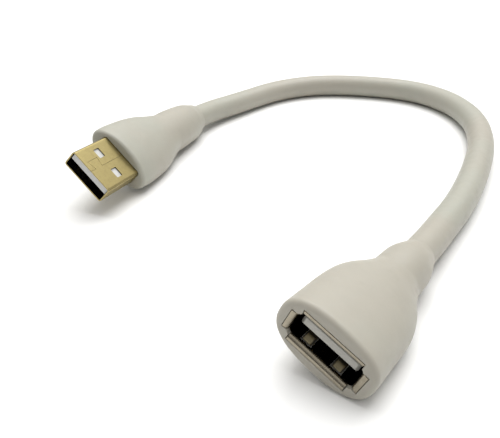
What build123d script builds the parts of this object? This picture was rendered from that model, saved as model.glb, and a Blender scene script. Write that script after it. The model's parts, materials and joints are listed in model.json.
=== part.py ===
from build123d import *
import os
from math import cos, pi, radians, sin, tan

# A short USB type A extension lead: a plug and a socket, each in a soft moulded hood,
# joined by one stiff round shielded cable that lies in a wide loop on the table.
# Millimetres, +Z up.  Each connector is drawn in its own local frame, with its front
# face at y = 0, the cable leaving along +Y and the contact tongue towards +Z.

os.makedirs("parts", exist_ok=True)

# ---------------------------------------------------------------- placement
# Local frame to the common one: place of the front centre, then yaw, pitch, roll.
# Both lie on the widest line of their hoods, rolled a little by the twist of the cable.
PLUG_ROLL, SOCKET_ROLL = 43.7, 25.3
PLUG_AT = Pos(-32.5, -16.6, 9.48) * Rot(Z=13.5) * Rot(X=-5.3) * Rot(Y=PLUG_ROLL)
SOCKET_AT = Pos(39.6, -32.9, 7.05) * Rot(X=-4.1) * Rot(Y=SOCKET_ROLL)

# ---------------------------------------------------------------- type A sizes
SHEET = 0.3                  # stamped sheet of both shells
CONTACT_X = {"ground": -3.5, "data_plus": -1.0, "data_minus": 1.0, "power": 3.5}
CONTACT_W = 1.0
CONTACT_T = 0.2
BLOCK_GAP = 0.04             # between an insulator and its shell, each side
CORE_R = 0.3                 # bare copper core of a wire
SOLDER_FILM = 0.05           # solder between a core and its tail
CORE_DROP = CORE_R + SOLDER_FILM     # from the underside of a tail to the core's middle
SOLDER_W, SOLDER_UNDER, SOLDER_EDGE = 1.1, 0.1, 0.12

PLUG_W, PLUG_H, PLUG_CORNER = 12.0, 4.5, 0.65
PLUG_BARE = 11.9             # shell length in front of the hood
PLUG_SHELL_END = 18.5
PLUG_BLOCK_FRONT, PLUG_BLOCK_STEP, PLUG_BLOCK_END = 0.35, 12.2, 17.0
PLUG_CONTACT_FRONT, PLUG_TAIL_END = 1.5, 19.6
PLUG_JACKET_END = 42.0
WINDOW_X, WINDOW_Y, WINDOW_W, WINDOW_L, WINDOW_R = 3.0, 6.2, 2.5, 2.0, 0.25
DOVETAIL = [(0, 4.0), (-2.3, 4.5), (-2.3, 1.1), (0, 1.6)]     # (x, y) along the top's seam
SEAM_GAP = 0.07
BLOCK_EDGE = 0.2             # chamfer round the front of a block or tongue

MOUTH_W, MOUTH_H, MOUTH_CORNER = 12.5, 5.12, 0.4
LIP_R = 0.5                  # inside radius of the flared lips
LIP_TIP = 0.25               # straight end of each lip
LIP_W, LIP_H = 11.2, 3.9     # lengths of the long and the short lips
SEAT_END_GAP, SEAT_TIP_GAP, SEAT_R = 0.15, 0.08, 0.3     # the hood's seat round the lips
SOCKET_SHELL_END = 13.2
TONGUE_HALF, TONGUE_LOW, TONGUE_TOP, TONGUE_BEVEL = 5.5, 0.2, 1.9, 0.5
TONGUE_FRONT, SOCKET_BLOCK_FRONT, SOCKET_BLOCK_END = 1.1, 9.4, 13.0
GROOVE_W, GROOVE_TOP, GROOVE_FRONT, GROOVE_END = 1.3, 1.4, 1.8, 8.9
TAIL_Z, SOCKET_TAIL_END = 0.85, 15.6
SOCKET_JACKET_END = 26.0

# Spring leaves, as centre lines (y, z) from the root to the free end.
CONTACT_LEAF = [(8.72, 0.95), (4.1, -0.12), (2.4, 0.5)]
FINGER_LEAF = [(7.5, -2.71), (2.3, -2.14), (1.35, -2.42)]
FINGER_X, FINGER_W, FINGER_T = 3.0, 1.8, 0.25
FINGER_SLOT = (1.1, 7.6)     # window in the shell wall, front and back
SIDE_GAP = 0.22              # from a finger to the side of its window
FINGER_ROOM = 0.55           # depth of the slot behind a finger
LEAF_BEND = 0.6

# ---------------------------------------------------------------- hoods
# Sections (y, half width, half height) of the two moulded hoods: widest near the front,
# pinched at the neck, then a collar that swells and rounds off on to the cable.
PLUG_HOOD = [(PLUG_BARE, 8.9, 4.7), (15.0, 9.1, 4.7), (19.0, 9.0, 4.7), (23.0, 8.7, 4.7),
             (27.0, 8.0, 4.7), (30.5, 6.9, 4.7), (34.0, 5.9, 4.9)]
PLUG_COLLAR = [(34.0, 5.9, 4.9), (38.5, 5.9, 5.1), (43.0, 5.7, 5.1), (46.5, 5.4, 4.9),
               (49.0, 4.7, 4.3), (50.5, 4.2, 4.0)]
PLUG_NOSE_ROUND = 0.9
SOCKET_HOOD = [(0.0, 9.2, 5.9), (5.0, 9.1, 5.7), (10.0, 9.0, 5.4), (14.0, 8.7, 5.2),
               (17.5, 7.7, 5.0), (20.5, 6.2, 4.7), (23.5, 5.0, 4.4)]
SOCKET_COLLAR = [(23.5, 5.0, 4.4), (26.5, 4.9, 4.5), (29.0, 4.8, 4.5), (31.0, 4.4, 4.2),
                 (33.0, 3.8, 3.7), (34.0, 3.5, 3.5)]
SOCKET_NOSE_ROUND = 1.0

# Inner moulds: (y start, y end, width, height) of the outer steps and of the cavity.
PLUG_CORE_STEPS = [(12.6, 26.0, 14.0, 6.4), (26.0, 30.0, 9.0, 6.2)]
PLUG_CAVITY = [(18.5, 25.0, 9.4, 3.8), (25.0, 29.5, 6.6, 4.6)]
SOCKET_CORE_STEPS = [(1.6, 14.5, 14.2, 7.2), (14.5, 20.6, 11.0, 6.2)]
SOCKET_CAVITY = [(13.2, 18.4, 9.4, 3.8), (18.4, 20.9, 6.6, 4.4)]
STEP_ROUND, CAVITY_ROUND = 2.4, 0.8
NOSE_BORE = 2.6              # radius of the passage for the wires, a little over the braid
PLUG_BORE_START, SOCKET_BORE_START = 29.0, 20.0

# Crimps: the ring round the jacket, and the inner line (y, z) of the strap to the shell.
RING_T, STRAP_T, STRAP_W = 0.4, 0.25, 3.0
PLUG_RING_Y, SOCKET_RING_Y = (42.4, 45.2), (26.5, 29.0)

# ---------------------------------------------------------------- cable
CABLE_D = 6.6
JACKET_WALL, BRAID_T, FOIL_T = 0.75, 0.2, 0.06
WIRE_D = 1.2
WIRE_RING = 1.0              # radius on which the four wires lie
CABLE_Z = 3.35               # height of the cable's middle where it lies on the table
# Route of the cable's middle between the two connector axes, plug end first.
ROUTE = [(-43, 54, 3.5), (-40, 70, CABLE_Z), (-31, 82, CABLE_Z), (-16, 89, CABLE_Z),
         (0, 92, CABLE_Z), (14, 87, CABLE_Z), (25, 76, CABLE_Z), (32, 61, CABLE_Z),
         (36, 44, CABLE_Z), (38.5, 28, CABLE_Z), (39, 14, 3.6)]
PLUG_LEAD, SOCKET_LEAD = 56.0, 38.0      # where the route leaves each connector's own axis

# Stripped ends, as y on each connector's axis; the braid and foil stand out of the jacket.
BRAID_BARE, FOIL_BARE = 1.2, 1.6
PLUG_CORE_END, PLUG_STRIP_END, PLUG_FAN = 17.9, 20.4, 22.0
SOCKET_CORE_END, SOCKET_STRIP_END, SOCKET_FAN = 14.0, 16.0, 16.9
PLUG_GATHER = {"outer": 29.0, "inner": 27.0}
SOCKET_GATHER = {"outer": 21.0, "inner": 20.4}
# Where each wire sits round the cable's middle, in degrees from local +X, at each end.
PLUG_RING = {"ground": 225, "data_plus": 135, "data_minus": 45, "power": 315}
SOCKET_RING = {"ground": 135, "data_plus": 225, "data_minus": 315, "power": 45}
WIRE_TWIST = -112            # turn of the four wires along the cable, in degrees


# ---------------------------------------------------------------- helpers
def block(x0, x1, y0, y1, z0, z1):
    """A plain box between two corners."""
    return Pos((x0 + x1) / 2, (y0 + y1) / 2, (z0 + z1) / 2) * Box(x1 - x0, y1 - y0, z1 - z0)


def prism(outline, y0, y1):
    """A solid whose cross-section in XZ is the outline, from y0 to y1."""
    return extrude(Plane.XZ.offset(-y0) * outline, amount=-(y1 - y0))


def rod(radius, y0, y1):
    return prism(Circle(radius), y0, y1)


def rounded(width, height, radius, y0, y1):
    return prism(RectangleRounded(width, height, radius), y0, y1)


def leaf(points, thickness, width, x):
    """A bent strip: the centre line in YZ with one rounded knuckle, width across X."""
    line = FilletPolyline(*points, radius=LEAF_BEND)
    strip = extrude(Plane.YZ * trace(line, line_width=thickness), amount=width / 2, both=True)
    return Pos(x, 0, 0) * strip


def hood(sections):
    """A smooth soft skin through elliptical sections."""
    return loft([Plane.XZ.offset(-y) * Ellipse(a, b) for y, a, b in sections])


def stepped(steps, jacket_end):
    """The outside of an inner mould: rounded steps, then a round nose that meets the jacket."""
    solid = rod(CABLE_D / 2, steps[-1][1], jacket_end)
    for y0, y1, width, height in steps:
        solid += rounded(width, height, STEP_ROUND, y0, y1)
    return solid


def hollowed(solid, cavity, bore_start, jacket_end):
    """An inner mould opened for the tails and, through its nose, for the wires."""
    for y0, y1, width, height in cavity:
        solid -= rounded(width, height, CAVITY_ROUND, y0, y1)
    return solid - rod(NOSE_BORE, bore_start, jacket_end + 1)


def crimp(line, ring_y):
    """A crimp ring round the jacket with a strap that runs forward to the shell."""
    start, end = ring_y
    jacket = rod(CABLE_D / 2, start - 1, end + 1)
    outline = line + [(y, z + STRAP_T) for y, z in reversed(line)]
    strap = extrude(Plane.YZ * make_face(Polyline(*outline, close=True)), amount=STRAP_W / 2, both=True)
    return rod(CABLE_D / 2 + RING_T, start, end) + strap - jacket


# ---------------------------------------------------------------- plug
def plug_shell():
    """Folded sheet with two windows in each wide face and a dovetailed seam along the top."""
    tube = rounded(PLUG_W, PLUG_H, PLUG_CORNER, 0, PLUG_SHELL_END)
    tube -= rounded(PLUG_W - 2 * SHEET, PLUG_H - 2 * SHEET, PLUG_CORNER - SHEET, -1, PLUG_SHELL_END + 1)
    for x in (-WINDOW_X, WINDOW_X):
        window = RectangleRounded(WINDOW_W, WINDOW_L, WINDOW_R)
        tube -= Pos(x, WINDOW_Y, -PLUG_H) * extrude(window, amount=2 * PLUG_H)
    seam = Polyline((0, PLUG_SHELL_END + 1), *DOVETAIL, (0, -1))
    slit = extrude(trace(seam, line_width=SEAM_GAP), amount=PLUG_H)
    return tube - slit


def plug_insulator():
    """The white block: a half-height tongue in front, the full height behind."""
    inset = 2 * (SHEET + BLOCK_GAP)
    solid = rounded(PLUG_W - inset, PLUG_H - inset, PLUG_CORNER - SHEET, PLUG_BLOCK_FRONT, PLUG_BLOCK_END)
    solid -= block(-PLUG_W, PLUG_W, -1, PLUG_BLOCK_STEP, -PLUG_H, 0)
    front = solid.edges().filter_by(Axis.X).group_by(Axis.Y)[0]
    solid = chamfer(front, BLOCK_EDGE)
    for x in CONTACT_X.values():
        solid -= plug_contact(x)
    return solid


def plug_contact(x):
    return block(x - CONTACT_W / 2, x + CONTACT_W / 2, PLUG_CONTACT_FRONT, PLUG_TAIL_END, 0, CONTACT_T)


def solder(x, y0, y1, tail_z):
    """A rounded solder fillet that holds a core against the underside of a tail."""
    low = tail_z - CORE_DROP - CORE_R - SOLDER_UNDER
    blob = block(x - SOLDER_W / 2, x + SOLDER_W / 2, y0, y1, low, tail_z)
    blob = chamfer(blob.edges().filter_by(Axis.Y).group_by(Axis.Z)[0], SOLDER_EDGE)
    return blob - Pos(x, 0, tail_z - CORE_DROP) * rod(CORE_R, y0 - 1, y1 + 1)


def plug_strap():
    low, high = PLUG_H / 2, PLUG_CORE_STEPS[0][3] / 2
    ring_front = PLUG_RING_Y[0]
    return crimp([(13.6, low), (16.2, low), (17.2, high), (ring_front + 0.2, high)], PLUG_RING_Y)


def plug_inner_mould():
    solid = stepped(PLUG_CORE_STEPS, PLUG_JACKET_END)
    solid -= rounded(PLUG_W, PLUG_H, PLUG_CORNER, 0, PLUG_SHELL_END)
    return hollowed(solid, PLUG_CAVITY, PLUG_BORE_START, PLUG_JACKET_END) - plug_strap()


def plug_overmould():
    body = hood(PLUG_HOOD)
    body = fillet(body.edges().group_by(Axis.Y)[0], PLUG_NOSE_ROUND)
    solid = body + hood(PLUG_COLLAR) - stepped(PLUG_CORE_STEPS, PLUG_JACKET_END)
    solid -= rounded(PLUG_W, PLUG_H, PLUG_CORNER, 0, PLUG_SHELL_END)
    solid -= rod(CABLE_D / 2, PLUG_JACKET_END - 1, PLUG_COLLAR[-1][0] + 1)
    return solid - plug_strap()


# ---------------------------------------------------------------- socket
def lip(length):
    """One flared lip, drawn on the top wall: the sheet turns outwards round LIP_R."""
    outer = LIP_R + SHEET
    z0 = MOUTH_H / 2
    turn = Pos(0, outer, z0 + outer) * (Rot(Y=90) * Cylinder(outer, length))
    turn -= Pos(0, outer, z0 + outer) * (Rot(Y=90) * Cylinder(LIP_R, length + 1))
    quarter = turn & block(-length, length, 0, outer, z0, z0 + outer)
    return quarter + block(-length / 2, length / 2, 0, SHEET, z0 + outer, z0 + outer + LIP_TIP)


def socket_shell():
    """Square sheet tube with four flared lips and a window for each spring finger."""
    start = LIP_R + SHEET
    tube = rounded(MOUTH_W + 2 * SHEET, MOUTH_H + 2 * SHEET, MOUTH_CORNER + SHEET, start, SOCKET_SHELL_END)
    tube -= rounded(MOUTH_W, MOUTH_H, MOUTH_CORNER, start - 1, SOCKET_SHELL_END + 1)
    side_shift = (MOUTH_W - MOUTH_H) / 2
    tube += lip(LIP_W) + Rot(Y=180) * lip(LIP_W)
    tube += Rot(Y=90) * (Pos(0, 0, side_shift) * lip(LIP_H))
    tube += Rot(Y=-90) * (Pos(0, 0, side_shift) * lip(LIP_H))
    half = FINGER_W / 2 + SIDE_GAP
    for x in (-FINGER_X, FINGER_X):
        tube -= block(x - half, x + half, *FINGER_SLOT, -MOUTH_H, MOUTH_H)
    return tube


def shell_finger(x, side):
    """A retention finger of the shell wall; side is -1 for the bottom wall, 1 for the top."""
    points = [(y, -side * z) for y, z in FINGER_LEAF]
    return leaf(points, FINGER_T, FINGER_W, x)


def contact_spring(x):
    return leaf(CONTACT_LEAF, CONTACT_T, CONTACT_W, x)


def socket_contact(x):
    return block(x - CONTACT_W / 2, x + CONTACT_W / 2, GROOVE_END - 0.1, SOCKET_TAIL_END,
                 TAIL_Z, TAIL_Z + CONTACT_T)


def socket_insulator():
    """The white tongue with four grooves on its underside, and the block that holds it."""
    solid = block(-TONGUE_HALF, TONGUE_HALF, TONGUE_FRONT, SOCKET_BLOCK_FRONT, TONGUE_LOW, TONGUE_TOP)
    solid += rounded(MOUTH_W - 2 * BLOCK_GAP, MOUTH_H - 2 * BLOCK_GAP, MOUTH_CORNER,
                     SOCKET_BLOCK_FRONT, SOCKET_BLOCK_END)
    front = solid.edges().group_by(Axis.Y)[0]
    solid = chamfer(front.filter_by(Axis.Z), TONGUE_BEVEL)
    front = solid.edges().group_by(Axis.Y)[0].filter_by(Axis.X)
    solid = chamfer(front, BLOCK_EDGE)
    for x in CONTACT_X.values():
        solid -= block(x - GROOVE_W / 2, x + GROOVE_W / 2, GROOVE_FRONT, GROOVE_END, -1, GROOVE_TOP)
        solid -= socket_contact(x)
    return solid


def socket_strap():
    low, high = MOUTH_H / 2 + SHEET, SOCKET_CORE_STEPS[0][3] / 2
    ring_front = SOCKET_RING_Y[0]
    return crimp([(9.0, low), (11.8, low), (12.9, high), (16.2, high), (19.5, CABLE_D / 2),
                  (ring_front + 0.3, CABLE_D / 2)], SOCKET_RING_Y)


def socket_inner_mould():
    """Hard inner mould; slots over the shell's fingers leave them room to give way."""
    solid = stepped(SOCKET_CORE_STEPS, SOCKET_JACKET_END)
    outer_w, outer_h = MOUTH_W + 2 * SHEET, MOUTH_H + 2 * SHEET
    solid -= rounded(outer_w, outer_h, MOUTH_CORNER + SHEET, 0, SOCKET_SHELL_END)
    half = FINGER_W / 2 + SIDE_GAP
    reach = outer_h / 2 + FINGER_ROOM
    for x in (-FINGER_X, FINGER_X):
        solid -= block(x - half, x + half, 0, FINGER_SLOT[1], -reach, reach)
    return hollowed(solid, SOCKET_CAVITY, SOCKET_BORE_START, SOCKET_JACKET_END) - socket_strap()


def socket_overmould():
    """Soft hood with a rounded front rim and a shallow seat for the four lips."""
    body = hood(SOCKET_HOOD)
    body = fillet(body.edges().group_by(Axis.Y)[0], SOCKET_NOSE_ROUND)
    solid = body + hood(SOCKET_COLLAR) - stepped(SOCKET_CORE_STEPS, SOCKET_JACKET_END)
    flare = LIP_R + SHEET + LIP_TIP + SEAT_TIP_GAP
    solid -= rounded(MOUTH_W + 2 * flare, LIP_H + 2 * SEAT_END_GAP, SEAT_R, -1, LIP_R + SHEET)
    solid -= rounded(LIP_W + 2 * SEAT_END_GAP, MOUTH_H + 2 * flare, SEAT_R, -1, LIP_R + SHEET)
    solid -= rounded(MOUTH_W + 2 * SHEET, MOUTH_H + 2 * SHEET, MOUTH_CORNER + SHEET, -1, SOCKET_SHELL_END)
    solid -= rod(CABLE_D / 2, SOCKET_JACKET_END - 1, SOCKET_COLLAR[-1][0] + 1)
    return solid - socket_strap()


# ---------------------------------------------------------------- cable
def middle(at, y):
    """The point on a connector's own axis at y."""
    return (at * Pos(0, y, 0)).position


def turn_radii(points):
    """The largest arc that fits each corner of a route."""
    radii = []
    for before, here, after in zip(points, points[1:], points[2:]):
        turn = (here - before).get_angle(after - here)
        run = min((here - before).length, (after - here).length)
        radii.append(0.45 * run / tan(radians(turn / 2)))
    return radii


def pipe(points, radii, outer_r, inner_r=0.0):
    """A round tube, or a solid rod, along straight runs joined by tangent arcs."""
    path = FilletPolyline(*points, radius=radii)
    start = Plane(path @ 0, z_dir=path % 0)
    section = Circle(outer_r) - Circle(inner_r) if inner_r else Circle(outer_r)
    return sweep(start * section, path), path


def cable_route(plug_end, socket_end):
    """The cable's middle line, ending inside the connectors at the given local y."""
    lead_in = [middle(PLUG_AT, plug_end), middle(PLUG_AT, PLUG_LEAD)]
    lead_out = [middle(SOCKET_AT, SOCKET_LEAD), middle(SOCKET_AT, socket_end)]
    return lead_in + [Vector(*point) for point in ROUTE] + lead_out


def wire_route(name, first_y, last_y):
    """One wire: fanned out to its contact at each end, gently twisted in between."""
    x = CONTACT_X[name]
    centre = cable_route(PLUG_JACKET_END, SOCKET_JACKET_END)[1:-1]
    begin = PLUG_RING[name] - PLUG_ROLL
    finish = 180 - (SOCKET_RING[name] - SOCKET_ROLL)
    finish += 360 * round((begin + WIRE_TWIST - finish) / 360)
    points = []
    for i, here in enumerate(centre):
        before = centre[max(i - 1, 0)]
        after = centre[min(i + 1, len(centre) - 1)]
        ahead = (after - before).normalized()
        right = ahead.cross(Vector(0, 0, 1)).normalized()
        up = right.cross(ahead)
        angle = radians(begin + (finish - begin) * i / (len(centre) - 1))
        points.append(here + right * (WIRE_RING * cos(angle)) + up * (WIRE_RING * sin(angle)))

    def local(at, px, py, pz):
        return (at * Pos(px, py, pz)).position

    def on_ring(at, ring, y):
        angle = radians(ring[name])
        return local(at, WIRE_RING * cos(angle), y, WIRE_RING * sin(angle))

    place = "outer" if abs(x) > 2 else "inner"
    plug_z, socket_z = -CORE_DROP, TAIL_Z - CORE_DROP
    start = [local(PLUG_AT, x, first_y, plug_z), local(PLUG_AT, x, PLUG_FAN, plug_z),
             on_ring(PLUG_AT, PLUG_RING, PLUG_GATHER[place])]
    end = [on_ring(SOCKET_AT, SOCKET_RING, SOCKET_GATHER[place]),
           local(SOCKET_AT, x, SOCKET_FAN, socket_z), local(SOCKET_AT, x, last_y, socket_z)]
    return start + points + end


# ---------------------------------------------------------------- write the nodes
def save(name, shape, at=Pos(0, 0, 0)):
    export_step(at * shape, os.path.join("parts", name + ".step"))


def build_plug():
    save("plug_shell", plug_shell(), PLUG_AT)
    save("plug_insulator", plug_insulator(), PLUG_AT)
    for name, x in CONTACT_X.items():
        save("plug_contact_" + name, plug_contact(x), PLUG_AT)
    joints = [solder(x, PLUG_CORE_END, PLUG_TAIL_END, 0) for x in CONTACT_X.values()]
    save("plug_solder_joints", Compound(children=joints), PLUG_AT)
    save("plug_inner_mould", plug_inner_mould(), PLUG_AT)
    save("plug_crimp", plug_strap(), PLUG_AT)
    save("plug_overmould", plug_overmould(), PLUG_AT)


def build_socket():
    save("socket_shell", socket_shell(), SOCKET_AT)
    save("socket_insulator", socket_insulator(), SOCKET_AT)
    for name, x in CONTACT_X.items():
        save("socket_contact_" + name, socket_contact(x), SOCKET_AT)
        save("contact_spring_" + name, contact_spring(x), SOCKET_AT)
    for wall, side in (("bottom", -1), ("top", 1)):
        for hand, x in (("left", -FINGER_X), ("right", FINGER_X)):
            save("shell_finger_" + wall + "_" + hand, shell_finger(x, side), SOCKET_AT)
    joints = [solder(x, SOCKET_CORE_END, SOCKET_TAIL_END, TAIL_Z) for x in CONTACT_X.values()]
    save("socket_solder_joints", Compound(children=joints), SOCKET_AT)
    save("socket_inner_mould", socket_inner_mould(), SOCKET_AT)
    save("socket_crimp", socket_strap(), SOCKET_AT)
    save("socket_overmould", socket_overmould(), SOCKET_AT)


def build_cable():
    radii = turn_radii(cable_route(PLUG_JACKET_END, SOCKET_JACKET_END))
    jacket_r = CABLE_D / 2
    braid_r = jacket_r - JACKET_WALL
    foil_r = braid_r - BRAID_T
    layers = [("cable_jacket", jacket_r, braid_r, 0.0), ("cable_braid", braid_r, foil_r, BRAID_BARE),
              ("cable_foil", foil_r, foil_r - FOIL_T, FOIL_BARE)]
    for name, outer_r, inner_r, bare in layers:
        route = cable_route(PLUG_JACKET_END - bare, SOCKET_JACKET_END - bare)
        tube, path = pipe(route, radii, outer_r, inner_r)
        save(name, tube)
        ideal = pi * (outer_r ** 2 - inner_r ** 2) * path.length
        print(name, "length", round(path.length, 1), "volume ratio", round(tube.volume / ideal, 4))
    print("cable radii", [round(r, 1) for r in radii])
    for name in CONTACT_X:
        covered = wire_route(name, PLUG_STRIP_END, SOCKET_STRIP_END)
        wire_radii = turn_radii(covered)
        save("wire_" + name, pipe(covered, wire_radii, WIRE_D / 2, CORE_R)[0])
        core, path = pipe(wire_route(name, PLUG_CORE_END, SOCKET_CORE_END), wire_radii, CORE_R)
        save("core_" + name, core)
        print("wire", name, round(path.length, 1), round(core.volume / (pi * CORE_R ** 2 * path.length), 4))


build_plug()
build_socket()
build_cable()
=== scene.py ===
import json
import math

import bmesh
import bpy
from mathutils import Euler, Matrix, Vector, noise


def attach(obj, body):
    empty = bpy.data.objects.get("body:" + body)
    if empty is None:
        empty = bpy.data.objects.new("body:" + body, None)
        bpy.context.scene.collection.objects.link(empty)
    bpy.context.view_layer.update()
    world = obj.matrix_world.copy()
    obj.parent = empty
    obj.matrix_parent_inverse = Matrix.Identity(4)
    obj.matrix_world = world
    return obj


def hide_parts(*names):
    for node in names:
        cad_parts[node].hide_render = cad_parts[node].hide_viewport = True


# A short USB type A extension lead: gold plated plug and nickel plated socket, each in a
# soft off-white moulded hood, and a round cable in one wide loop.  Scene units are metres; the
# connectors are drawn in their own millimetres, y towards the cable, and then put in place.

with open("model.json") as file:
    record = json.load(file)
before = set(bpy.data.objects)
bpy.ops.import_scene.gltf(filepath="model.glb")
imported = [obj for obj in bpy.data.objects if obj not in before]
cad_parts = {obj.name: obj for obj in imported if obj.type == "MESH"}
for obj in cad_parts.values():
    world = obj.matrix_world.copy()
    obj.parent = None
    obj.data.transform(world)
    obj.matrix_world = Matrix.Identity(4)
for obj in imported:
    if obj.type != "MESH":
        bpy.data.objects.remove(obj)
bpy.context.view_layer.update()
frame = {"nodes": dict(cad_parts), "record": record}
MM = 0.001
BODY = "lead"                 # the body that the hoods and the cable ride
TABLE_GAP = 0.02 * MM         # lowest a soft hood may reach over the floor


# ---------------------------------------------------------------- connector frames
MOUNTS = {mount["name"]: mount for mount in frame["record"]["mounts"]}


def connector(front, side, up_sign):
    """Matrix from a connector's own millimetres (x across, y to the cable, z to the tongue)."""
    origin = Vector(MOUNTS[front]["pos_m"])
    along = -Vector(MOUNTS[front]["axis"]).normalized()
    up = up_sign * (Vector(MOUNTS[side]["pos_m"]) - origin)
    up = (up - along * up.dot(along)).normalized()
    turn = Matrix((along.cross(up), along, up)).transposed().to_4x4()
    return Matrix.Translation(origin) @ turn @ Matrix.Scale(MM, 4)


PLUG = connector("usb_a_plug", "plug_shoulder", 1)
SOCKET = connector("usb_a_socket", "socket_face", -1)


# ---------------------------------------------------------------- shader helpers
# Colour of the painted shade in the connectors' dark insides.
PAINTED_SHADE_BLACK = (0.012, 0.011, 0.009)


class Shader:
    """A material and short calls that add nodes to it."""

    def __init__(self, name, base, roughness, metallic=0.0):
        self.material = bpy.data.materials.new(name)
        self.material.use_nodes = True
        self.tree = self.material.node_tree
        self.bsdf = self.tree.nodes["Principled BSDF"]
        self.set("Base Color", (*base, 1.0))
        self.set("Roughness", roughness)
        self.set("Metallic", metallic)
        self.place = self.tree.nodes.new("ShaderNodeTexCoord").outputs["Object"]

    def set(self, socket, value):
        self.bsdf.inputs[socket].default_value = value

    def add(self, kind, **values):
        node = self.tree.nodes.new(kind)
        for key, value in values.items():
            setattr(node, key, value)
        return node

    def link(self, source, target):
        self.tree.links.new(source, target)

    def frame_of(self, matrix):
        """Makes the texture coordinates a connector's own millimetres from here on."""
        inverse = matrix.inverted()
        node = self.add("ShaderNodeMapping", vector_type="POINT")
        node.inputs["Location"].default_value = inverse.to_translation()
        node.inputs["Rotation"].default_value = inverse.to_quaternion().to_euler("XYZ")
        node.inputs["Scale"].default_value = inverse.to_scale()
        self.link(self.place, node.inputs["Vector"])
        self.place = node.outputs["Vector"]

    def noise(self, scale, detail=3.0, stretch=(1, 1, 1), roughness=0.55):
        mapping = self.add("ShaderNodeMapping")
        mapping.inputs["Scale"].default_value = stretch
        self.link(self.place, mapping.inputs["Vector"])
        node = self.add("ShaderNodeTexNoise")
        node.inputs["Scale"].default_value = scale
        node.inputs["Detail"].default_value = detail
        node.inputs["Roughness"].default_value = roughness
        self.link(mapping.outputs["Vector"], node.inputs["Vector"])
        return node.outputs["Fac"]

    def spread(self, value, low, high, to_low=0.0, to_high=1.0):
        """Maps low..high of a value to to_low..to_high, clamped."""
        node = self.add("ShaderNodeMapRange", interpolation_type="SMOOTHSTEP")
        limits = {"From Min": low, "From Max": high, "To Min": to_low, "To Max": to_high}
        for key, number in limits.items():
            node.inputs[key].default_value = number
        self.link(value, node.inputs["Value"])
        return node.outputs["Result"]

    def math(self, operation, a, b=0.0):
        node = self.add("ShaderNodeMath", operation=operation)
        for socket, value in zip(node.inputs, (a, b)):
            if isinstance(value, (int, float)):
                socket.default_value = value
            else:
                self.link(value, socket)
        return node.outputs["Value"]

    def axis(self, letter):
        node = self.add("ShaderNodeSeparateXYZ")
        self.link(self.place, node.inputs["Vector"])
        return node.outputs[letter]

    def mix(self, factor, a, b):
        """Colour a at 0 and b at 1; either is a colour or a socket."""
        node = self.add("ShaderNodeMix", data_type="RGBA")
        self.link(factor, node.inputs["Factor"])
        for socket, value in ((node.inputs[6], a), (node.inputs[7], b)):
            if isinstance(value, tuple):
                socket.default_value = (*value, 1.0)
            else:
                self.link(value, socket)
        return node.outputs[2]

    def absolute(self, value):
        return self.math("ABSOLUTE", value)

    def colour(self, socket):
        self.link(socket, self.bsdf.inputs["Base Color"])

    def rough(self, socket):
        self.link(socket, self.bsdf.inputs["Roughness"])

    def paint_shade(self, amount):
        """Paints shade: turns the colour nearly black where the amount is 1."""
        base = self.bsdf.inputs["Base Color"].links[0].from_socket
        self.colour(self.mix(amount, base, PAINTED_SHADE_BLACK))

    def bump(self, height, distance, strength=1.0):
        node = self.add("ShaderNodeBump")
        node.inputs["Distance"].default_value = distance
        node.inputs["Strength"].default_value = strength
        self.link(height, node.inputs["Height"])
        if self.bsdf.inputs["Normal"].links:
            self.link(self.bsdf.inputs["Normal"].links[0].from_socket, node.inputs["Normal"])
        self.link(node.outputs["Normal"], self.bsdf.inputs["Normal"])


def soft_pvc(name):
    """Satin off-white PVC: mottled tint, faint grime in patches, fine moulded grain."""
    shader = Shader(name, (0.41, 0.39, 0.33), roughness=0.46)
    warm = shader.spread(shader.noise(scale=38.0, detail=2.0), low=0.38, high=0.62)
    tint = shader.mix(warm, (0.402, 0.399, 0.341), (0.412, 0.389, 0.331))
    mottle = shader.spread(shader.noise(scale=420.0, detail=4.0), low=0.30, high=0.75, to_high=0.16)
    tint = shader.mix(mottle, tint, (0.345, 0.325, 0.28))
    stain = shader.noise(scale=150.0, detail=5.0, roughness=0.7)
    grime = shader.spread(stain, low=0.60, high=0.78, to_high=0.22)
    tint = shader.mix(grime, tint, (0.29, 0.27, 0.22))
    streak = shader.noise(scale=190.0, detail=2.0, stretch=(0.25, 1.6, 1.0))
    scuffs = shader.spread(streak, low=0.735, high=0.765, to_high=0.5)
    shader.colour(shader.mix(scuffs, tint, (0.26, 0.26, 0.20)))
    gloss = shader.noise(scale=600.0, detail=3.0)
    shader.rough(shader.spread(gloss, low=0.3, high=0.7, to_low=0.40, to_high=0.54))
    shader.set("Specular IOR Level", 0.42)
    shader.set("Subsurface Weight", 0.12)
    shader.set("Subsurface Radius", (1.0, 0.8, 0.6))
    shader.set("Subsurface Scale", 1.2 * MM)
    shader.bump(shader.noise(scale=260.0, detail=3.0), distance=0.05 * MM, strength=0.6)
    shader.bump(shader.noise(scale=3200.0, detail=2.0), distance=0.012 * MM, strength=0.5)
    return shader.material


def plated(name, base, dull, roughness, matrix, grain=0.4):
    """Plated sheet metal: fine drawn lines along the shell, dull patches and fingerprints."""
    shader = Shader(name, base, roughness, metallic=1.0)
    shader.frame_of(matrix)
    lines = shader.noise(scale=9.0, detail=3.0, stretch=(1.0, 0.12, 1.0))
    patches = shader.spread(shader.noise(scale=0.9, detail=4.0), low=0.42, high=0.68, to_high=0.55)
    colour = shader.mix(patches, base, dull)
    streaks = shader.spread(lines, low=0.35, high=0.75, to_high=0.25)
    shader.colour(shader.mix(streaks, colour, dull))
    shader.rough(shader.spread(lines, 0.3, 0.7, to_low=roughness - 0.07, to_high=roughness + 0.10))
    shader.bump(lines, distance=0.01 * MM, strength=grain)
    return shader


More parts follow.
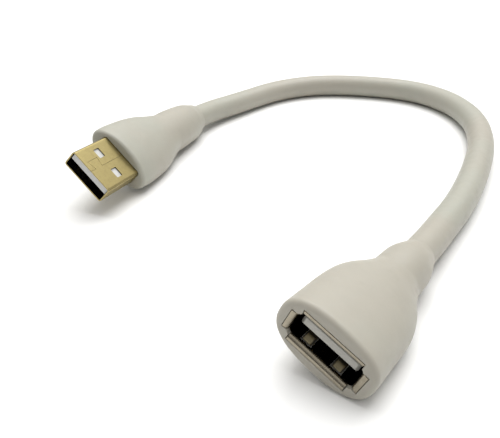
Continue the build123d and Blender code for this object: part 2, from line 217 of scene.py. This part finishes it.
def moulded(name, base, shade, roughness, matrix):
    """Hard moulded plastic with a faint flow pattern."""
    shader = Shader(name, base, roughness)
    shader.frame_of(matrix)
    pattern = shader.noise(scale=1.6, detail=3.0, stretch=(1.0, 0.5, 1.0))
    flow = shader.spread(pattern, low=0.35, high=0.7, to_high=0.5)
    shader.colour(shader.mix(flow, base, shade))
    gloss = shader.noise(scale=7.0)
    shader.rough(shader.spread(gloss, 0.3, 0.7, to_low=roughness - 0.05, to_high=roughness + 0.08))
    shader.bump(shader.noise(scale=11.0, detail=2.0), distance=0.01 * MM, strength=0.4)
    return shader


def strand(name, base, shade, roughness, metallic, scale):
    """Inner layers of the cable: insulation, copper, foil and solder."""
    shader = Shader(name, base, roughness, metallic)
    grain = shader.noise(scale, detail=3.0)
    shader.colour(shader.mix(shader.spread(grain, low=0.35, high=0.7), base, shade))
    shader.rough(shader.spread(grain, 0.3, 0.7, to_low=roughness - 0.05, to_high=roughness + 0.1))
    shader.bump(grain, distance=0.03 * MM, strength=0.4)
    return shader


def braided(name):
    """Tinned braid: two crossing families of fine strands."""
    shader = Shader(name, (0.62, 0.61, 0.58), roughness=0.34, metallic=1.0)
    families = []
    for direction in ((1.0, 1.0, 0.6), (1.0, -1.0, 0.6)):
        mapping = shader.add("ShaderNodeMapping")
        mapping.inputs["Scale"].default_value = direction
        shader.link(shader.place, mapping.inputs["Vector"])
        wave = shader.add("ShaderNodeTexWave", bands_direction="DIAGONAL")
        wave.inputs["Scale"].default_value = 420.0
        wave.inputs["Distortion"].default_value = 0.6
        shader.link(mapping.outputs["Vector"], wave.inputs["Vector"])
        families.append(wave.outputs["Fac"])
    weave = shader.math("MAXIMUM", *families)
    shader.colour(shader.mix(weave, (0.20, 0.19, 0.18), (0.70, 0.69, 0.66)))
    shader.bump(weave, distance=0.08 * MM)
    return shader


# ---------------------------------------------------------------- mesh helpers
# Steps along each corner, long side and short side of a ring; all rings have equal counts.
CORNER_STEPS, LONG_STEPS, SHORT_STEPS = 9, 36, 16


def closed_ring(corners):
    """The points of four corners, counter-clockwise, with straight sides filled in between."""
    points = []
    for index, corner in enumerate(corners):
        points += corner
        (x0, z0), (x1, z1) = corner[-1], corners[(index + 1) % 4][0]
        steps = LONG_STEPS if index % 2 == 0 else SHORT_STEPS
        for k in range(1, steps):
            share = k / steps
            points.append((x0 * (1 - share) + x1 * share, z0 * (1 - share) + z1 * share))
    return points


def four_corners(quarter):
    """The corner on the right at the top, given as points, and its three mirror images."""
    back = quarter[::-1]
    left_top = [(-x, z) for x, z in back]
    left_bottom = [(-x, -z) for x, z in quarter]
    right_bottom = [(x, -z) for x, z in back]
    return [quarter, left_top, left_bottom, right_bottom]


def corner_arc(width, height, radius):
    """The rounded corner on the right at the top of a rectangle in the XZ plane."""
    turns = [math.radians(90 * k / CORNER_STEPS) for k in range(CORNER_STEPS + 1)]
    cx, cz = width / 2 - radius, height / 2 - radius
    return [(cx + radius * math.cos(turn), cz + radius * math.sin(turn)) for turn in turns]


def smooth_value(stations, y):
    """Value at y on a smooth curve through stations (y, value); constant beyond the ends."""
    if y <= stations[0][0]:
        return stations[0][1]
    if y >= stations[-1][0]:
        return stations[-1][1]
    k = max(i for i, s in enumerate(stations[:-1]) if s[0] <= y)

    def slope(i):
        low, high = max(i - 1, 0), min(i + 1, len(stations) - 1)
        return (stations[high][1] - stations[low][1]) / (stations[high][0] - stations[low][0])

    (y0, v0), (y1, v1) = stations[k], stations[k + 1]
    span = y1 - y0
    t = (y - y0) / span
    return (v0 * (2 * t ** 3 - 3 * t ** 2 + 1) + v1 * (3 * t ** 2 - 2 * t ** 3)
            + span * slope(k) * (t ** 3 - 2 * t ** 2 + t) + span * slope(k + 1) * (t ** 3 - t ** 2))


MOUTH_W, MOUTH_H, MOUTH_CORNER = 12.5, 5.12, 0.6      # the socket's opening
MOUTH_ARC = corner_arc(MOUTH_W, MOUTH_H, MOUTH_CORNER)
ANGLES = [math.atan2(z / MOUTH_H, x / MOUTH_W) for x, z in closed_ring(four_corners(MOUTH_ARC))]


def signed_power(value, power):
    return math.copysign(abs(value) ** power, value)


def oval(y, a, b, power=2.0, angles=ANGLES):
    """A superellipse with half-axes a and b, its points opposite those of the opening."""
    points = []
    for angle in angles:
        x = a * signed_power(math.cos(angle), 2 / power)
        z = b * signed_power(math.sin(angle), 2 / power)
        points.append((x, y, z))
    return points


def box_ring(y, width, height, radius):
    return [(x, y, z) for x, z in closed_ring(four_corners(corner_arc(width, height, radius)))]


def seat_ring(y, lip_w, lip_h, flare):
    """The cross-shaped seat round the socket's four lips, as far out as the flare."""
    side, top = MOUTH_W / 2, MOUTH_H / 2
    outward = [0, flare / 2, flare]
    quarter = [(side + out, lip_h / 2) for out in reversed(outward)]
    quarter += MOUTH_ARC[3:-3]                  # three points at each end make way for the seat's
    quarter += [(lip_w / 2, top + out) for out in outward]
    return [(x, y, z) for x, z in closed_ring(four_corners(quarter))]


def angles_outward(ring, a, b, power):
    """Angles that put an oval's points straight outward of a ring's points."""
    half = power / 2
    return [math.atan2(signed_power(z / b, half), signed_power(x / a, half)) for x, _, z in ring]


def between(start, end, share):
    """An angle part of the way from one angle to another, by the short way round."""
    return start + share * ((end - start + math.pi) % (2 * math.pi) - math.pi)


SHARP_ANGLE = math.radians(35.0)


def loft_mesh(name, rings, matrix):
    """Quads between rings of equal count, the last joined to the first; flat where it lies."""
    mesh = bpy.data.meshes.new(name)
    count = len(rings[0])
    vertices = [matrix @ Vector(point) for ring in rings for point in ring]
    vertices = [(x, y, max(z, TABLE_GAP)) for x, y, z in vertices]
    faces = []
    for i in range(len(rings)):
        j = (i + 1) % len(rings)
        for k in range(count):
            n = (k + 1) % count
            faces.append((i * count + k, j * count + k, j * count + n, i * count + n))
    mesh.from_pydata(vertices, [], faces)
    shape = bmesh.new()
    shape.from_mesh(mesh)
    bmesh.ops.remove_doubles(shape, verts=shape.verts, dist=1e-7)
    bmesh.ops.recalc_face_normals(shape, faces=shape.faces)
    shape.to_mesh(mesh)
    shape.free()
    mesh.shade_smooth()
    mesh.set_sharp_from_angle(angle=SHARP_ANGLE)
    return mesh


RELAX = 8.0            # length over which a rim's points move to their even places
RIM_STEPS = 10         # rings over the rolled front rim
RING_STEP = 0.33       # distance between the other rings


def skin_rings(hood, collar, nose, pinch, front_power, seed, front_angles=ANGLES):
    """Rings of a hood's outside from its rolled front rim to the end of the collar.

    The nose is the rim's radius, and the pinch is the length that softens the step between
    hood and collar.  The front is a superellipse of the given power and becomes an ellipse.
    The points start at the front angles and move to the even ones.
    """
    front, meet, end = hood[0][0], hood[-1][0], collar[-1][0]

    def half(index, y):
        total = 0.0
        for k in range(-2, 3):
            near = y + k * pinch / 2
            table = hood if near < meet else collar
            total += smooth_value([(row[0], row[index]) for row in table], near)
        return total / 5

    stations = []
    for k in range(RIM_STEPS + 1):
        stations.append(front + nose * (1 - math.cos(math.radians(90 / RIM_STEPS * k))))
    rest = end - stations[-1]
    steps = round(rest / RING_STEP)
    stations += [stations[-1] + rest * k / steps for k in range(1, steps + 1)]
    rings = []
    for y in stations:
        inset = 0.0
        if y < front + nose:
            inset = nose - math.sqrt(max(nose ** 2 - (front + nose - y) ** 2, 0.0))
        fullness = max(0.0, 1 - (y - front) / (meet - front))
        power = 2 + (front_power - 2) * fullness
        share = max(0.0, 1 - (y - front) / RELAX) ** 2
        angles = [between(even, first, share) for even, first in zip(ANGLES, front_angles)]
        ring = oval(y, half(1, y) - inset, half(2, y) - inset, power, angles)
        rings.append([uneven(Vector(point), seed) for point in ring])
    return rings


def uneven(point, seed, depth=0.06, scale=0.22):
    """Slight hand-made unevenness of soft plastic, as a shift along the radius."""
    radial = Vector((point.x, 0, point.z)).normalized()
    return point + radial * noise.noise(point * scale + Vector((seed, 0, 0))) * depth


def inside_rings(collar, jacket_end, core_steps):
    """Rings of a hood's inside, backwards: the cable's bore, then the inner mould's room."""
    bore = CABLE_D / 2 + BORE_GAP
    rings = [oval(y, bore, bore) for y in (collar[-1][0], jacket_end, core_steps[-1][1])]
    for front, back, width, height in reversed(core_steps):
        rings += [box_ring(y, width, height, CORE_CORNER) for y in (back, front)]
    return rings


def add_hood(name, rings, matrix, material, replaced):
    mesh = loft_mesh(name, rings, matrix)
    piece = bpy.data.objects.new(name, mesh)
    bpy.context.scene.collection.objects.link(piece)
    mesh.materials.append(material)
    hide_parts(replaced)
    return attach(piece, BODY)


# ---------------------------------------------------------------- hoods
CABLE_D = 6.6
BORE_GAP = 0.02        # room round the cable in a collar
CORE_CORNER = 2.4      # rounded corner of an inner mould

# Sections of the outsides: y, half width, half height.  All in millimetres.
PLUG_HOOD = [(11.9, 8.9, 4.7), (15.0, 9.1, 4.7), (19.0, 9.0, 4.7), (23.0, 8.7, 4.7),
             (27.0, 8.0, 4.7), (30.5, 6.9, 4.7), (34.0, 5.9, 4.9)]
PLUG_COLLAR = [(34.0, 5.9, 4.9), (38.5, 5.9, 5.1), (43.0, 5.7, 5.1), (46.5, 5.4, 4.9),
               (49.0, 4.7, 4.3), (50.5, 4.2, 4.0)]
SOCKET_HOOD = [(0.0, 9.2, 5.9), (5.0, 9.1, 5.7), (10.0, 9.0, 5.4), (14.0, 8.7, 5.2),
               (17.5, 7.7, 5.0), (20.5, 6.2, 4.7), (23.5, 5.0, 4.4)]
SOCKET_COLLAR = [(23.5, 5.0, 4.4), (26.5, 4.9, 4.5), (29.0, 4.8, 4.5), (31.0, 4.4, 4.2),
                 (33.0, 3.8, 3.7), (34.0, 3.5, 3.5)]

# Rooms for the inner moulds: front, back, width, height.
PLUG_CORE_STEPS = [(12.7, 26.0, 14.0, 6.4), (26.0, 30.0, 9.0, 6.2)]
SOCKET_CORE_STEPS = [(1.1, 14.5, 14.2, 7.2), (14.5, 20.6, 11.0, 6.2)]

# Rim radius, softening at the pinch, power of the front superellipse, seed of the unevenness.
PLUG_SKIN = (0.9, 0.6, 2.0, 3.1)
SOCKET_SKIN = (1.0, 0.5, 2.5, 8.7)
PLUG_JACKET_END, SOCKET_JACKET_END = 43.0, 26.0

# Width, height and corner of the bore round each shell, with a little room.
PLUG_BORE = (12.06, 4.56, 0.66)
SOCKET_BORE = (13.14, 5.76, 0.72)

# The seat of the lips: its long and its short length, and its reach past the opening; then how
# deep it is and how deep its bevel goes.
SEAT_LONG, SEAT_SHORT, SEAT_FLARE = 11.5, 4.2, 1.13
SEAT_DEPTH, SEAT_BEVEL = 0.8, 0.12


def plug_hood(material):
    """The soft hood of the plug, with a small bevel where the shell comes out."""
    front, core_front = PLUG_HOOD[0][0], PLUG_CORE_STEPS[0][0]
    width, height, corner = PLUG_BORE
    bevel = 0.15
    rings = skin_rings(PLUG_HOOD, PLUG_COLLAR, *PLUG_SKIN)
    rings += inside_rings(PLUG_COLLAR, PLUG_JACKET_END, PLUG_CORE_STEPS)
    rings += [box_ring(y, width, height, corner) for y in (core_front, front + bevel)]
    rings.append(box_ring(front, width + 2 * bevel, height + 2 * bevel, 0.80))
    return add_hood("plug_hood", rings, PLUG, material, "plug_overmould")


def socket_hood(material):
    """The soft hood of the socket, with a bevelled seat for the four lips in its flat front."""
    nose, _, power, _ = SOCKET_SKIN
    front, half_w, half_h = SOCKET_HOOD[0]
    seat_front = seat_ring(front, SEAT_LONG + 0.1, SEAT_SHORT + 0.1, SEAT_FLARE + 0.07)
    front_angles = angles_outward(seat_front, half_w - nose, half_h - nose, power)
    rings = skin_rings(SOCKET_HOOD, SOCKET_COLLAR, *SOCKET_SKIN, front_angles)
    rings += inside_rings(SOCKET_COLLAR, SOCKET_JACKET_END, SOCKET_CORE_STEPS)
    rings += [box_ring(y, *SOCKET_BORE) for y in (SOCKET_CORE_STEPS[0][0], SEAT_DEPTH)]
    rings += [seat_ring(y, SEAT_LONG, SEAT_SHORT, SEAT_FLARE) for y in (SEAT_DEPTH, SEAT_BEVEL)]
    rings.append(seat_front)
    return add_hood("socket_hood", rings, SOCKET, material, "socket_overmould")


# ---------------------------------------------------------------- cable
CABLE_Z = 3.35                # height of the cable's middle where it lies on the floor
PLUG_LEADS = (42, 56)         # places on the plug's axis that the cable starts along
SOCKET_LEADS = (38, 26)       # and those on the socket's axis that it ends along
ROUTE = [(-43, 54, 3.5), (-40, 70, CABLE_Z), (-31, 82, CABLE_Z), (-16, 89, CABLE_Z),
         (0, 92, CABLE_Z), (14, 87, CABLE_Z), (25, 76, CABLE_Z), (32, 61, CABLE_Z),
         (36, 44, CABLE_Z), (38.5, 28, CABLE_Z), (39, 14, 3.6)]


def cable(material):
    """The jacket as one smooth line through the route, ending inside both collars."""
    points = [PLUG @ Vector((0, y, 0)) for y in PLUG_LEADS]
    points += [Vector(point) * MM for point in ROUTE]
    points += [SOCKET @ Vector((0, y, 0)) for y in SOCKET_LEADS]
    curve = bpy.data.curves.new("cable", "CURVE")
    curve.dimensions = "3D"
    line = curve.splines.new("NURBS")
    line.points.add(len(points) - 1)
    for target, point in zip(line.points, points):
        target.co = (*point, 1.0)
    line.order_u = 3
    line.use_endpoint_u = True
    line.resolution_u = 12
    curve.bevel_depth = CABLE_D / 2 * MM
    curve.bevel_resolution = 9
    curve.use_fill_caps = True
    piece = bpy.data.objects.new("cable", curve)
    bpy.context.scene.collection.objects.link(piece)
    curve.materials.append(material)
    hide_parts("cable_jacket")
    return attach(piece, BODY)


# ---------------------------------------------------------------- finishes of the CAD nodes
def gold_shell():
    """Gold outside; inside the shell, behind the rim and inward of the sheet, painted shade makes it nearly
    black.
    """
    gold = plated("gold_shell", (0.41, 0.34, 0.155), (0.35, 0.285, 0.13), 0.42, PLUG, grain=0.25)
    wide = gold.spread(gold.absolute(gold.axis("X")), 5.95, 5.75)
    thick = gold.spread(gold.absolute(gold.axis("Z")), 2.20, 2.00)
    behind_rim = gold.spread(gold.axis("Y"), 0.02, 0.10)
    inside_shade = gold.math("MULTIPLY", gold.math("MULTIPLY", wide, thick), behind_rim)
    # Painted shade: the shell's inside turns nearly black, as the dark void would look.
    gold.paint_shade(gold.spread(inside_shade, 0.0, 1.0))
    return gold


def nickel_shell():
    """Nickel lips with painted shade that turns them nearly black towards the inside of the shell."""
    nickel = plated("nickel_shell", (0.33, 0.295, 0.23), (0.25, 0.22, 0.165), 0.24, SOCKET)
    depth = nickel.spread(nickel.axis("Y"), 0.35, 1.4)
    # Painted shade: nearly black deeper in the mouth.
    nickel.paint_shade(nickel.spread(depth, 0.0, 1.0))
    return nickel


def nickel_finger():
    """A finger of the socket's shell, with painted shade over its sides and its deeper part."""
    finger = plated("nickel_finger", (0.48, 0.42, 0.27), (0.36, 0.30, 0.18), 0.5, SOCKET)
    finger.set("Metallic", 0.35)
    finger_x = 3.0
    beside = finger.absolute(finger.math("SUBTRACT", finger.absolute(finger.axis("X")), finger_x))
    side_shade = finger.spread(beside, 0.50, 0.85)
    deep = finger.spread(finger.axis("Y"), 2.3, 3.0)
    # Painted shade: the finger turns dark beside its middle strip and deeper in the mouth.
    finger.paint_shade(finger.spread(finger.math("MAXIMUM", side_shade, deep), 0.0, 1.0, to_high=0.85))
    return finger


def white_tongue():
    """The socket's tongue, with painted shade that turns it nearly black behind its front."""
    tongue = moulded("white_tongue", (0.56, 0.55, 0.50), (0.49, 0.48, 0.435), 0.40, SOCKET)
    base = tongue.bsdf.inputs["Base Color"].links[0].from_socket
    depth = tongue.spread(tongue.axis("Y"), 0.6, 2.4)
    # Painted shade: nearly black deeper in the socket, behind the tongue's front.
    tongue.colour(tongue.mix(depth, base, (0.010, 0.010, 0.010)))
    return tongue


WIRES = {"ground": (0.02, 0.02, 0.02), "data_plus": (0.03, 0.25, 0.06),
         "data_minus": (0.75, 0.75, 0.73), "power": (0.45, 0.02, 0.02)}
FINGERS = ("bottom_left", "bottom_right", "top_left", "top_right")


def finish_nodes():
    """Gives every CAD node that is kept a material of its own kind."""
    contact = plated("gold_contact", (0.80, 0.58, 0.24), (0.60, 0.42, 0.16), 0.25, SOCKET)
    crimp = plated("steel_crimp", (0.56, 0.55, 0.53), (0.34, 0.33, 0.32), 0.36, PLUG)
    mould = moulded("inner_mould", (0.74, 0.73, 0.68), (0.66, 0.65, 0.60), 0.5, SOCKET)
    solder = strand("tin_solder", (0.60, 0.60, 0.60), (0.40, 0.40, 0.41), 0.30, metallic=1.0, scale=1500.0)
    copper = strand("bare_copper", (0.85, 0.45, 0.28), (0.60, 0.28, 0.16), 0.30, metallic=1.0, scale=1800.0)
    foil = strand("shield_foil", (0.75, 0.75, 0.76), (0.50, 0.50, 0.52), 0.28, metallic=1.0, scale=900.0)
    chosen = {
        "plug_shell": gold_shell(),
        "plug_insulator": moulded("white_block", (0.62, 0.62, 0.60), (0.54, 0.54, 0.53), 0.42, PLUG),
        "plug_crimp": crimp,
        "plug_inner_mould": mould,
        "plug_solder_joints": solder,
        "socket_shell": nickel_shell(),
        "socket_insulator": white_tongue(),
        "socket_crimp": crimp,
        "socket_inner_mould": mould,
        "socket_solder_joints": solder,
        "cable_braid": braided("tinned_braid"),
        "cable_foil": foil,
    }
    for name, colour in WIRES.items():
        shade = tuple(0.7 * c for c in colour)
        wire = strand("insulation_" + name, colour, shade, 0.45, metallic=0.0, scale=700.0)
        chosen["wire_" + name] = wire
        chosen["core_" + name] = copper
        for part in ("plug_contact_", "socket_contact_", "contact_spring_"):
            chosen[part + name] = contact
    finger = nickel_finger()
    for corner in FINGERS:
        chosen["shell_finger_" + corner] = finger
    for name, shader in chosen.items():
        materials = frame["nodes"][name].data.materials
        materials.clear()
        materials.append(shader.material)


# ---------------------------------------------------------------- floor, light, camera
def stage():
    """A plain pale floor."""
    mesh = bpy.data.meshes.new("floor")
    reach = 30.0
    corners = [(-reach, -reach, 0), (reach, -reach, 0), (reach, reach, 0), (-reach, reach, 0)]
    mesh.from_pydata(corners, [], [(0, 1, 2, 3)])
    floor = bpy.data.objects.new("floor", mesh)
    bpy.context.scene.collection.objects.link(floor)
    pale, less_pale = (0.90, 0.90, 0.895), (0.885, 0.885, 0.88)
    shader = Shader("pale_floor", pale, roughness=0.6)
    shader.colour(shader.mix(shader.noise(scale=3.0), pale, less_pale))
    mesh.materials.append(shader.material)


def lights():
    """A pale studio, brightest overhead and a little behind, and one large soft lamp."""
    world = bpy.data.worlds.new("studio")
    bpy.context.scene.world = world
    world.use_nodes = True
    tree = world.node_tree
    direction = tree.nodes.new("ShaderNodeTexCoord")
    facing = tree.nodes.new("ShaderNodeVectorMath")
    facing.operation = "DOT_PRODUCT"
    brightest = (-0.05, 0.18, 0.98)
    facing.inputs[1].default_value = brightest
    ramp = tree.nodes.new("ShaderNodeMapRange")
    ramp.interpolation_type = "SMOOTHSTEP"
    limits = {"From Min": -0.10, "From Max": 0.95, "To Min": 0.11, "To Max": 0.85}
    for key, value in limits.items():
        ramp.inputs[key].default_value = value
    background = tree.nodes["Background"]
    background.inputs["Color"].default_value = (1.0, 0.995, 0.98, 1.0)
    tree.links.new(direction.outputs["Generated"], facing.inputs[0])
    tree.links.new(facing.outputs["Value"], ramp.inputs["Value"])
    tree.links.new(ramp.outputs["Result"], background.inputs["Strength"])
    data = bpy.data.lights.new("overhead", "AREA")
    data.size = 1.05
    data.energy = 14.8
    lamp = bpy.data.objects.new("overhead", data)
    bpy.context.scene.collection.objects.link(lamp)
    lamp.location = (-0.09, 0.42, 1.05)
    loop_middle = Vector((0.0, 0.05, 0.0))
    lamp.rotation_euler = (loop_middle - lamp.location).to_track_quat("-Z", "Y").to_euler()


def camera():
    """The photo's viewpoint, with the photo's flat white kept by the Standard view transform."""
    data = bpy.data.cameras.new("camera")
    data.sensor_width = 36.0
    data.lens = 43.2
    data.clip_start = 0.01
    data.clip_end = 10.0
    eye = bpy.data.objects.new("camera", data)
    bpy.context.scene.collection.objects.link(eye)
    eye.location = (0.07264, -0.09088, 0.06914)
    yaw, pitch, roll = math.radians(38.21), math.radians(-30.53), math.radians(-2.69)
    level = Euler((math.pi / 2 + pitch, 0, yaw)).to_matrix()
    eye.rotation_euler = (level @ Euler((0, 0, roll)).to_matrix()).to_euler()
    bpy.context.scene.camera = eye
    bpy.context.scene.view_settings.view_transform = "Standard"


# ---------------------------------------------------------------- the scene
PVC = soft_pvc("soft_pvc")
camera()
cable(PVC)
plug_hood(PVC)
socket_hood(PVC)
finish_nodes()
stage()
lights()
